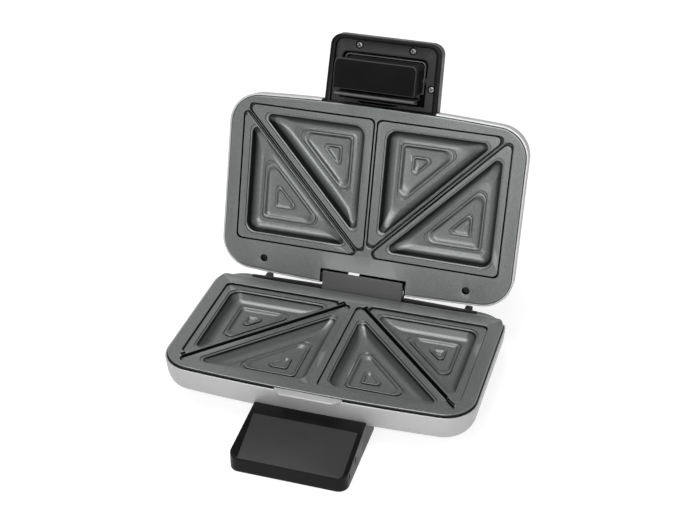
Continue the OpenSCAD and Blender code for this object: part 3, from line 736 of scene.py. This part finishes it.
def make_upper_plate():
    """Upper plate, with grooves round its flanges, screw seats and a stepped notch for the hinge."""
    groove = [(-1.05, FACE_DEPTH), (-0.85, FACE_DEPTH), (-0.68, 0.5), (-0.14, 2.6), (0.14, 2.6),
              (0.68, 0.5), (0.85, FACE_DEPTH), (1.05, FACE_DEPTH)]
    seat = [(3.9, FACE_DEPTH), (3.6, 0.26), (3.42, 0.5), (2.5, 3.9)]
    seats = both_sides([PLATE_SCREW])
    diagonals = [7.0, 4.7, 6.9, 4.7]
    borders = [(-1.5, -0.4, 3.95), (0.5, 0.0, -0.75), (-0.6, -0.4, 0.05), (-0.4, 0.0, 1.65)]
    holes = [circle(x, y, seat[0][0]) for x, y in seats]
    s = plate(1, FACE_DEPTH, diagonals, borders, groove, holes)
    for x, y in seats:
        s.loft([ring(circle(x, y, r), depth) for r, depth in seat], end=True)
    obj = s.build("upper_plate_face", in_lid)
    notch = ((145, -1), (143.2, 1.8))
    cut(obj, [box((-COVER_HW, y, z), (COVER_HW, BEYOND_BACK, 10), in_lid) for y, z in notch])
    finish_piece(obj, "lid", "nonstick_upper", "upper_plate")


def make_upper_ridges():
    """Ridge beside each upper diagonal: side, middle off the diagonal and half width."""
    ridges = Shell()
    for side, middle, half in ((1, -2.3, 0.65), (-1, 3.6, 0.65)):
        section = [(half, 0.6), (half - 0.05, -1.3), (half - 0.2, -1.75), (half - 0.45, -1.95),
                   (0.06, -2.0)]
        ridges.loft([ring(bar_outline(side, 8, 8, middle - w, middle + w, w), z) for w, z in section],
                    start=True, end=True)
    finish_piece(ridges.build("upper_plate_ridges", in_lid), "lid", "nonstick_upper")


def apron(p):
    """Bends the back of the lower plate down, its rim by about half as much as its face."""
    drop = np.interp(p[:, 1], *zip(*APRON))
    share = 0.55 + 0.45 * np.clip((p[:, 2] + RIM_DEPTH) / 4.0, 0, 1)
    share = np.where(p[:, 2] < -RIM_DEPTH - 0.1, 0, share)
    return np.column_stack([p[:, :2], p[:, 2] + drop * share])


def make_lower_plate():
    """Lower plate, with sunk flanges, a trench round each, diagonal slots and a notch for the hinge."""
    flange = 2.3
    step = [(-1.2, FACE_DEPTH), (-0.5, FACE_DEPTH), (-0.24, 0.27), (-0.04, 0.5), (0.0, 0.75), (0.05, 2.4),
            (0.2, 2.75), (0.55, 2.75), (0.7, 2.4), (0.8, flange), (1.1, flange)]
    borders = [(0.2, 0.2, -1.9), (0.2, 0.2, 4.6)] * 2
    s = plate(-1, flange, [6.6, 8.5] * 2, borders, step)
    s.move(apron)
    obj = s.build("lower_plate_face", in_base)
    notch_hw = SHIELD_HW + 0.8
    cutters = [box((-notch_hw, 145.6, -20), (notch_hw, BEYOND_BACK, 5), in_base)]
    lip = [(0, -6.0), (0, -3.3), (0.1, -2.85), (0.3, -2.5), (0.6, -2.27), (0.6, 1.0)]
    for side, start, end, lo, hi in SLOTS:
        slot = Shell()
        slot.loft([ring(bar_outline(side, start, end, lo - w, hi + w, 0.8), z) for w, z in lip],
                  start=True, end=True)
        cutters.append(slot.build("cutter", in_base))
    cut(obj, cutters)
    finish_piece(obj, "base", "nonstick_lower", "lower_plate")


def make_slot_troughs():
    """A trough and a narrower one inside it hang under each slot."""
    troughs = Shell()
    for side, start, end, lo, hi in SLOTS:
        narrow = 0.27 + (hi - lo) * 0.3
        outer = [(0.0, -4.15), (0.85, -4.1), (narrow + 0.9, -12.0)]
        inner = [(0.0, -4.15), (narrow + 0.2, -12.8)]
        for section in (outer, inner):
            troughs.loft([ring(bar_outline(side, start - 1, end - 1, lo - 0.9 + w, hi + 0.9 - w, 0.3), z)
                          for w, z in section], end=True)
    finish_piece(troughs.build("lower_plate_slot_troughs", in_base), "base", "nonstick_lower")


def make_ledge_shade_strips():
    """Black strip lying on the ledge behind each half of the lower plate, widest next to the hinge: painted
    shade, put where the ledge only lies in shadow.
    """
    x = np.linspace(39.6, 109, 14)
    back_y = BACK_Y - BACK_BOW_R + np.sqrt((BACK_BOW_R - 0.4) ** 2 - x * x)
    front_y = np.interp(x, [39.6, 75, 109], [145.4, 146.8, 149.4])
    outline = np.concatenate([np.column_stack([x, back_y]), np.column_stack([x, front_y])[::-1]])

    def on_ledge(p):
        return in_base(apron(np.array([[p[0], p[1], -FACE_DEPTH]]))[0] + [0, 0, p[2]])

    for o in (outline, mirror_x(outline)):
        # Painted shade: a black strip laid where the ledge only lies in shadow.
        shade_strip = prism("rear_ledge_shade_strip", o, -0.5, 0.25, 0.15, on_ledge, 2)
        finish_piece(shade_strip, "base", "hinge_black")


# ---- casings ----


def lid_section(inset):
    """Outside of the lid from its lip to its top, moved in by inset: growth, height and rounding."""
    side = [(CASING_GROW - inset, 1.6, 0), (1.4 - inset, 16.4, 6), (-0.9 - inset, 23.8 - inset / 3, 3.6)]
    top = [(-5 - inset, 28 - inset / 2, 2.4), (-12 - inset, 30 - inset, 3.6),
           (-34 - inset, LID_H - inset, 0)]
    return soften(side + top, 5)


def lid_shell(name, wall):
    """The lid's whole pressed shell, with a rolled lip; cut to shape afterwards."""
    lip = [(0.35, 1.3), (0.5, 0.85), (1.7, 0.8), (2.05, 1.0)]
    section = lid_section(wall)[::-1] + lip + lid_section(0)
    s = Shell()
    s.loft([ring(body_outline(grow), z) for grow, z in section], start=True, end=True)
    return s.build(name, in_lid)


def make_lid_casing():
    """Lid casing, cut out for the hinge cover and the handle's root."""
    casing = lid_shell("lid_casing_shell", 1.5)
    hinge_cut = box((-COVER_HW - 0.2, 141.4, -6), (COVER_HW + 0.2, BEYOND_BACK, 60), in_lid)
    root_cut = box((-53.2, -30, -2), (53.2, -8.6, 24.3), in_lid)
    cut(casing, [hinge_cut, root_cut])
    finish_piece(casing, "lid", "casing_silver", "lid_casing")


def make_hinge_cover():
    """Cover over the hinge, with room for the shield and a slot."""
    cover = lid_shell("lid_hinge_cover_shell", 2.0)
    cut(cover, [box((-COVER_HW, 141.6, 4.6), (COVER_HW, BEYOND_BACK, 60), in_lid)], "INTERSECT")
    shield_room = box((-SHIELD_HW - 1, 146.7, -6), (SHIELD_HW + 1, BEYOND_BACK, 15), in_lid)
    slot = box((-20.5, 146, 10), (-9.5, 159, 60), in_lid)
    cut(cover, [shield_room, slot])
    finish_piece(cover, "lid", "black_plastic", "lid_hinge_cover")


def lower_casing_shape(p):
    """Lowers the casing's rim towards the back, and the lower edge of its front wall a little."""
    waist, rim_z, front_drop = -16, -2.6, 2.2
    rim = np.interp(p[:, 1], [137.5, 139.5, 143, 146.5, 175], [rim_z, -4.4, -6.6, -8.1, -8.9])
    z = np.where(p[:, 2] > waist, waist + (p[:, 2] - waist) * (rim - waist) / (rim_z - waist), p[:, 2])
    z -= front_drop * np.clip((10 - p[:, 1]) / 20, 0, 1) * np.clip((-8 - p[:, 2]) / 10, 0, 1)
    return np.column_stack([p[:, :2], z])


def make_lower_casing():
    """Lower casing: up inside, over the rim, down outside and back under it."""
    inside_top = [(0.7, -8), (0.7, -3.1), (0.95, -2.7), (1.75, -2.6), (2.05, -2.8)]
    outside = soften([(CASING_GROW, -3.4, 0), (1.0, -16.8, 5), (-1.5, -23.4, 2.6), (-4.5, -25, 1.8),
                      (-12, -25, 0)], 5)
    inside_bottom = [(-12, -23.7), (-5, -23.5), (-0.5, -16.8), (0.7, -8)]
    s = Shell()
    s.loft([ring(body_outline(grow), z) for grow, z in inside_top + outside + inside_bottom])
    s.move(lower_casing_shape)
    finish_piece(s.build("lower_casing_shell", in_base), "base", "casing_silver", "lower_casing")


def make_latch_shelf():
    """Shelf in front of the lower casing, where the latch hooks under."""
    outline = [(-30, -11.5), (-30, -12.6), (-23, -19.5), (23, -19.5), (30, -12.6), (30, -11.5)]
    finish_piece(prism("latch_shelf", outline, -3.0, -0.8, 0.45, in_base), "base", "casing_silver")


def make_stand_posts():
    """Posts behind the base, to store the closed toaster upright on."""
    back = cad_box("rear_stand_posts")[1][1] - MIDDLE_Y
    outline = round_rect(94.6, 101.4, 156.4, back, [0.4, 0.4, 1.5, 1.5], 5)
    for o in (outline, mirror_x(outline)):
        post = prism("rear_stand_post", o, -22, -11.8, 0.5, in_base, 2)
        finish_piece(post, "base", "black_plastic", "rear_stand_posts")


# ---- hinge ----


def make_hinge_shield():
    """Grey wall in front of the hinge, leaning back."""
    section = [(146.4, -4), (150.6, 14.2), (151.8, 14.2), (147.6, -4)]
    shield = side_prism("hinge_shield_wall", section, -SHIELD_HW, SHIELD_HW, 0.35, in_base)
    finish_piece(shield, "base", "hinge_grey", "hinge_shield")


def make_hinge_cheeks():
    """Cheek on the lid at each end of the hinge cover."""
    section = [(149.8, 1.2), (159.2, 1.2), (159.6, 3), (159.4, 12), (149.8, 12)]
    for side in (1, -1):
        x0, x1 = sorted((side * (SHIELD_HW + 1.1), side * (COVER_HW - 0.1)))
        cheek = side_prism("lid_hinge_cheek", section, x0, x1, 0.3, in_lid, 2)
        finish_piece(cheek, "lid", "hinge_black")


# ---- lower handle ----

# Top of the lower handle: y and height, rising towards the casing and falling again inside it
HANDLE_TOP = [(LOWER_HANDLE_Y, -33.5), (-11.8, -20.5), (-9.95, -23.7), (-7.1, -25.5), (14, -39.9)]

# Along its sides the outline has a point at each of these y
HANDLE_STATIONS = [-50, -36, -24, -14, -11.8, -9.95, -7.1, 4, 14]


def handle_top(y):
    return np.interp(y, *zip(*HANDLE_TOP))


def below_handle_top(outline, down=0.0):
    """Outline laid on the sloping top, or that far under it."""
    return ring(outline, handle_top(outline[:, 1]) - down)


def lower_handle_outline(inset):
    """Plan of the lower handle; it narrows towards the casing, most on the left."""
    hw, y0, r = 51.5 - inset, LOWER_HANDLE_Y + inset, max(9 - inset, 1.0)
    right = [(hw, y) for y in HANDLE_STATIONS]
    left = [(-hw, y) for y in HANDLE_STATIONS[::-1]]
    o = np.concatenate([arc(-hw + r, y0 + r, r, 180, 270, 8), arc(hw - r, y0 + r, r, 270, 360, 8),
                        right, left])
    taper = np.where(o[:, 0] < 0, 3.0, -0.5) * (o[:, 1] - LOWER_HANDLE_Y) / (-12 - LOWER_HANDLE_Y)
    return np.column_stack([o[:, 0] + taper, o[:, 1]])


def make_lower_handle():
    """Lower handle, its edges rounded; rings close to an edge keep the lightened edge, rubbed wear and
    painted highlight, narrow.
    """
    bottom = [(1.6, -48.4), (0.5, -48.1), (0.1, -47.5), (0, -46.6), (0, -45.8), (0, -45.0)]
    top = [(0, 3.1), (0, 2.3), (0, 1.5), (0.12, 0.8), (0.5, 0.25), (1.2, 0.0), (2.2, 0.0)]
    rings = [ring(lower_handle_outline(inset), z) for inset, z in bottom]
    rings += [below_handle_top(lower_handle_outline(inset), down) for inset, down in top]
    s = Shell()
    s.loft(rings, start=True)
    close_handle_top(s, lower_handle_outline(top[-1][0]))
    obj = s.build("lower_handle_body", in_base)
    cut(obj, [box((46, -46, -38.3), (60, -43.6, -30.8), in_base),
              box((47, -61.8, -40.8), (60, -59.4, -35.4), in_base)])
    finish_piece(obj, "base", "black_plastic", "lower_handle")


def close_handle_top(s, o):
    """Closes the top with one face at the front and one between each pair of stations."""
    n = len(HANDLE_STATIONS)
    front = len(o) - 2 * n
    right, left = o[front:front + n], o[front + n:][::-1]
    faces = [tuple(range(front)) + (front, front + n)]
    faces += [(front + i, front + i + 1, front + n + i + 1, front + n + i) for i in range(n - 1)]
    s.add(np.concatenate([below_handle_top(part) for part in (o[:front], right, left)]), faces)


def make_lower_handle_inset():
    """Thin grey inset on the slope of the lower handle's top."""
    front, back = -70.5, -23.5
    o = round_rect(-42.5, 47.6, front, back, [1.0, 5.0, 1.0, 1.0], 8)
    o[:, 0] -= np.where(o[:, 0] < 0, 2.2, 0.4) * (o[:, 1] - front) / (back - front)
    inset = prism("lower_handle_inset", o, -0.3, 0.14, 0.08,
                  lambda p: in_base((p[0], p[1], p[2] + handle_top(p[1]))), 2)
    finish_piece(inset, "base", "dark_plastic_panel")


# ---- lid handle and latch ----


def lid_handle_outline(side, front, root):
    """Plan of the lid handle; it narrows towards its front, most on the left."""
    length = HANDLE_ROOT_Y - HANDLE_Y
    r = max(10 - max(side, front) * 0.6, 2.0)
    o = round_rect(-HANDLE_HW + side, HANDLE_HW - side, HANDLE_Y + front, root, [r, r, 0.01, 0.01])
    flare = 1 + 0.8 / HANDLE_HW * (o[:, 1] - HANDLE_Y) / length
    narrow = np.where(o[:, 0] < 0, 0.8 + 1.4 * (root - o[:, 1]) / length, 0)
    return np.column_stack([o[:, 0] * flare + narrow, o[:, 1]])


def make_lid_handle():
    """Tray of the lid handle; each ring gives its inset at the sides, at the front and its height."""
    mouth = [(6.0, 5.4, 21.5), (5.2, 4.4, 21.1)]
    within = [(5.0, 4.0, z) for z in (20.4, 19.6, 7.6, 6.8, 6.0)]
    rim = [(4.85, 3.85, 5.5), (4.4, 3.4, 5.1), (3.8, 2.8, 5.0), (1.3, 1.3, 5.0), (0.55, 0.55, 5.15),
           (0.15, 0.15, 5.55)]
    outside = [(0, 0, z) for z in (6.3, 7.1, 7.9, 15.9, 16.7, 17.5)]
    top = [(0.15, 0.6, 20.0), (0.7, 2.3, 22.1), (1.8, 5.0, 23.3), (3.2, 9.0, 23.85), (5.0, 14.0, 24.0),
           (6.0, 15.0, 24.0)]
    rings = []
    for side, front, z in mouth + within + rim + outside + top:
        shorter = 2.5 * min(side / 5, 1) * (z < 22)
        rings.append(ring(lid_handle_outline(side, front, HANDLE_ROOT_Y - shorter), z))
    s = Shell()
    s.loft(rings, start=True, end=True)
    finish_piece(s.build("lid_handle_shell", in_lid), "lid", "black_plastic", "lid_handle_cover")


def opening_outline(inset):
    """Opening in the panel that the latch swings in, with round front corners."""
    hw, front, back, r = 39.5, -57.5, -15.0, 5
    cx, cy = hw - r, front + r
    return np.concatenate([
        arc(-cx, cy, r - inset, 180, 270, 8), arc(cx, cy, r - inset, 270, 360, 8),
        [(hw - inset, back - inset), (inset - hw, back - inset)]])


def make_handle_panel():
    """Panel in the lid handle, with the latch's opening, a notch, screw holes and two lugs."""
    back_z = 12.6
    hole = [(3.9, 0), (3.7, 0.06), (3.55, 0.3), (3.5, 3.1)]
    lip = [(-0.5, 0), (-0.25, 0.06), (-0.06, 0.25), (0, 0.6), (0, 3.1)]
    outline = round_rect(-47.6, 47.6, -69.0, -11.4, [6.5, 6.5, 0.3, 0.3], 8)
    notch = np.array([[-22.0, -13.9], [17.0, -13.9], [13.5, -12.2], [9.0, -11.95], [-20.0, -11.95]])
    screws = both_sides(PANEL_SCREWS)
    face_holes = [circle(x, y, hole[0][0]) for x, y in screws] + [opening_outline(lip[0][0]), notch]
    back_holes = [opening_outline(0), notch] + [circle(x, y, hole[-1][0]) for x, y in screws]
    s = Shell()
    s.flat(outline, face_holes, PANEL_Z)
    s.loft([ring(outline, PANEL_Z), ring(outline, back_z)])
    s.flat(outline, back_holes, back_z)
    s.loft([ring(opening_outline(inset), PANEL_Z + depth) for inset, depth in lip])
    s.loft([ring(notch, PANEL_Z), ring(notch, back_z)])
    for x, y in screws:
        s.loft([ring(circle(x, y, r), PANEL_Z + depth) for r, depth in hole])
    lug = round_rect(39.6, 43.5, -41.2, -34.8, [0.6] * 4, 3)
    for o in (lug, mirror_x(lug)):
        s.loft([ring(o, 12.5), ring(o, 18.4)], start=True, end=True)
    finish_piece(s.build("lid_handle_panel_plate", in_lid), "lid", "dark_plastic_panel", "lid_handle_panel")


def make_recess_frame():
    """Narrow grey frame round the front and sides of the recess behind the latch."""
    cx, cy, wide, narrow = 32.9, -51, 4.5, 3.4
    outer = [arc(-cx, cy, wide, 180, 270, 8), arc(cx, cy, wide, 270, 360, 8)]
    inner = [arc(cx, cy, narrow, 360, 270, 8), arc(-cx, cy, narrow, 270, 180, 8)]
    right_foot = [(cx + wide, -26.4), (31.2, -26.4), (31.2, -27.5), (cx + narrow, -27.5)]
    left_foot = [(-x, y) for x, y in right_foot[::-1]]
    outline = np.concatenate([*outer, right_foot, *inner, left_foot])
    rim = prism("latch_recess_frame", outline, 11.0, 19.0, 0.25, in_lid, 2)
    finish_piece(rim, "lid", "hinge_grey")


def phillips(s, x, y, z, r, turn):
    """Pan head with a crossed recess, its face towards -z."""
    dome = [(1, 0.9), (1, 0.25), (0.97, 0.0), (0.9, -0.35), (0.78, -0.62), (0.66, -0.75)]
    s.loft([ring(circle(x, y, r * a), z + b) for a, b in dome], start=True)
    c, w = r * 0.6, r * 0.2
    cross = np.array([(c, w), (w, w), (w, c), (-w, c), (-w, w), (-c, w),
                      (-c, -w), (-w, -w), (-w, -c), (w, -c), (w, -w), (c, -w)])
    a = math.radians(turn)
    cross = cross @ np.array([[math.cos(a), math.sin(a)], [-math.sin(a), math.cos(a)]])
    s.flat(circle(x, y, r * 0.66), [cross + [x, y]], z - 0.75)
    s.loft([ring(cross * k + [x, y], z + b) for k, b in ((1, -0.75), (0.9, 0.1), (0.5, 0.8))], end=True)


def make_screws(name, places, z, r, slot, *nodes):
    """Screw heads on both sides of the lid, each turned differently."""
    s = Shell()
    for k, (x, y) in enumerate(both_sides(places)):
        phillips(s, x, y, z, r, 35 + 17 * k)
    finish_piece(s.build(name, in_lid, 30), "lid", slot, *nodes)


LATCH_END_Z = -19.6


def latch_outline(inset, z):
    """Section of the latch's flap at a height; it widens a little towards its end."""
    out = np.interp(z, [LATCH_END_Z, 11], [1, 0])
    r = max(5 - inset, 0.5)
    back_r = max(1.2 - inset, 0.5)
    hw = 35.4 - inset
    return round_rect(-hw - 3.0 * out, hw + 0.8 * out, -53.2 - 1.4 * out + inset,
                      -27.2 - 0.4 * out - inset, [r, r, back_r, back_r], 8)


def make_latch():
    """Flap of the latch; rings close to the edge of its face keep the lightened edge, rubbed wear and
    painted highlight, narrow.
    """
    back = [(1.8, LATCH_END_Z + 2.2), (1.8, 18.0), (1.4, 18.4), (0.4, 18.4)]
    sides = [(0, 18.0), (0, 5), (0, LATCH_END_Z + 0.95)]
    rounding = [(0.12, LATCH_END_Z + 0.45), (0.4, LATCH_END_Z + 0.12)]
    face = [(inset, LATCH_END_Z) for inset in (0.85, 1.4, 2.2, 3.2, 4.4, 5.6)]
    s = Shell()
    s.loft([ring(latch_outline(inset, z), z) for inset, z in back + sides + rounding + face],
           start=True, end=True)
    finish_piece(s.build("latch_flap", in_lid), "latch", "latch_black", "latch_lever")


def make_latch_hook():
    """Plate behind the flap's end, with the hook that catches under the shelf."""
    front, face_y, tip = -27.4, -22.5, -19.9
    section = [(front, 0), (-24.1, 0), (-24.1, LATCH_END_Z), (face_y, LATCH_END_Z), (face_y, -8.6),
               (tip, -8.6), (tip, -6.1), (face_y, -6.1), (face_y, 2), (front, 2)]
    hook = side_prism("latch_hook_plate", section, -36.5, 36.5, 0.25, in_lid, 2)
    finish_piece(hook, "latch", "latch_black")


make_upper_plate()
make_upper_ridges()
make_lower_plate()
make_slot_troughs()
make_ledge_shade_strips()
make_lid_casing()
make_hinge_cover()
make_lower_casing()
make_latch_shelf()
make_stand_posts()
make_hinge_shield()
make_hinge_cheeks()
make_lower_handle()
make_lower_handle_inset()
make_lid_handle()
make_handle_panel()
make_recess_frame()
make_latch()
make_latch_hook()
make_screws("lid_handle_screw_heads", PANEL_SCREWS, 10.9, 2.7, "screw_steel", "lid_handle_screws")
make_screws("upper_plate_screw_heads", [PLATE_SCREW], 2.9, 1.9, "plate_screw_steel", "upper_plate_screws")

for node, obj in frame["nodes"].items():
    obj.data.materials.clear()
    obj.data.materials.append(MATERIALS[SLOT_OF[node]])
    obj.data.set_sharp_from_angle(angle=math.radians(30))


# ---- stage, light and camera ----


def make_floor():
    """Pale floor that takes the object's shadow, and glows for rays that see the backdrop."""
    half, level = 8, -0.0002
    corners = [(-half, -half, level), (half, -half, level), (half, half, level), (-half, half, level)]
    floor = add_mesh("floor", corners, [(0, 1, 2, 3)])
    mat = bpy.data.materials.new("floor")
    mat.use_nodes = True
    mat.node_tree.nodes.clear()
    t = Nodes(mat.node_tree)
    diffuse = t.node("ShaderNodeBsdfDiffuse", Color=(0.45, 0.45, 0.45, 1)).outputs[0]
    glow = t.node("ShaderNodeEmission", Strength=0.8).outputs[0]
    bright = t.join("ShaderNodeAddShader", diffuse, glow)
    t.join("ShaderNodeOutputMaterial", t.join("ShaderNodeMixShader", t.white_rays(), diffuse, bright))
    floor.data.materials.append(mat)


def make_world():
    """White round the object; gloss sees that white behind it, and a dimmer room above and in front."""
    world = bpy.data.worlds.new("studio")
    bpy.context.scene.world = world
    world.use_nodes = True
    world.node_tree.nodes.clear()
    t = Nodes(world.node_tree)

    def background(color, strength):
        return t.node("ShaderNodeBackground", Color=(*color, 1), Strength=strength).outputs[0]

    split = t.node("ShaderNodeSeparateXYZ")
    t.link(t.node("ShaderNodeTexCoord").outputs["Generated"], split.inputs[0])
    behind = t.math("SUBTRACT", t.math("MULTIPLY", split.outputs["Y"], 0.9),
                    t.math("MULTIPLY", split.outputs["Z"], 0.25))
    path = t.node("ShaderNodeLightPath")
    dim = t.math("MULTIPLY", t.ramp(behind, 0.3, 0.62, 1.0, 0.0), path.outputs["Is Glossy Ray"])
    white = background((1, 1, 1), 1.0)
    cool = background((0.95, 0.97, 1.0), 0.13)
    dark = background((1, 1, 1), 0.12)
    lit = t.join("ShaderNodeMixShader", t.white_rays(), cool, white)
    t.join("ShaderNodeOutputWorld", t.join("ShaderNodeMixShader", dim, lit, dark))


def area_light(name, place, aim, size, power):
    """Soft rectangular lamp at a place in metres, turned to a point; power is in watts."""
    data = bpy.data.lights.new(name, "AREA")
    data.shape = "RECTANGLE"
    data.size, data.size_y = size
    data.energy = power
    lamp = add_object(name, data)
    lamp.location = place
    lamp.rotation_mode = "QUATERNION"
    lamp.rotation_quaternion = (Vector(aim) - Vector(place)).to_track_quat("-Z", "Y")


def make_camera(azimuth, elevation, roll, aim, distance, focal_px, width_px):
    """Camera at the photograph's angle, looking at aim in the plate frame; distance is in metres."""
    data = bpy.data.cameras.new("camera")
    data.sensor_width = 36
    data.lens = focal_px / width_px * data.sensor_width
    data.clip_start, data.clip_end = 0.05, 60
    az, el, turn = math.radians(azimuth), math.radians(elevation), math.radians(roll)
    back = Vector((math.sin(az) * math.cos(el), -math.cos(az) * math.cos(el), math.sin(el)))
    level = Vector((math.cos(az), math.sin(az), 0))
    upright = back.cross(level)
    right = math.cos(turn) * level + math.sin(turn) * upright
    up = -math.sin(turn) * level + math.cos(turn) * upright
    spot = Vector(in_base(aim)) + back * distance
    camera = add_object("camera", data)
    camera.matrix_world = Matrix((
        (right.x, up.x, back.x, spot.x),
        (right.y, up.y, back.y, spot.y),
        (right.z, up.z, back.z, spot.z),
        (0, 0, 0, 1)))
    bpy.context.scene.camera = camera


make_floor()
make_world()
area_light("key", (0.2, -1.7, 1.05), aim=(0, 0.05, 0.12), size=(1.3, 1.0), power=26)
area_light("side", (1.7, -0.3, 1.0), aim=(0, 0.05, 0.1), size=(0.8, 0.9), power=3.4)
area_light("top", (-0.35, -0.45, 1.8), aim=(0, 0, 0.05), size=(1.3, 0.8), power=22)
make_camera(azimuth=16.5923, elevation=32.3318, roll=0.195, aim=(-24.6628, 193.3236, 0),
            distance=1.3265477, focal_px=1381.7, width_px=700)
bpy.context.scene.view_settings.view_transform = "Standard"
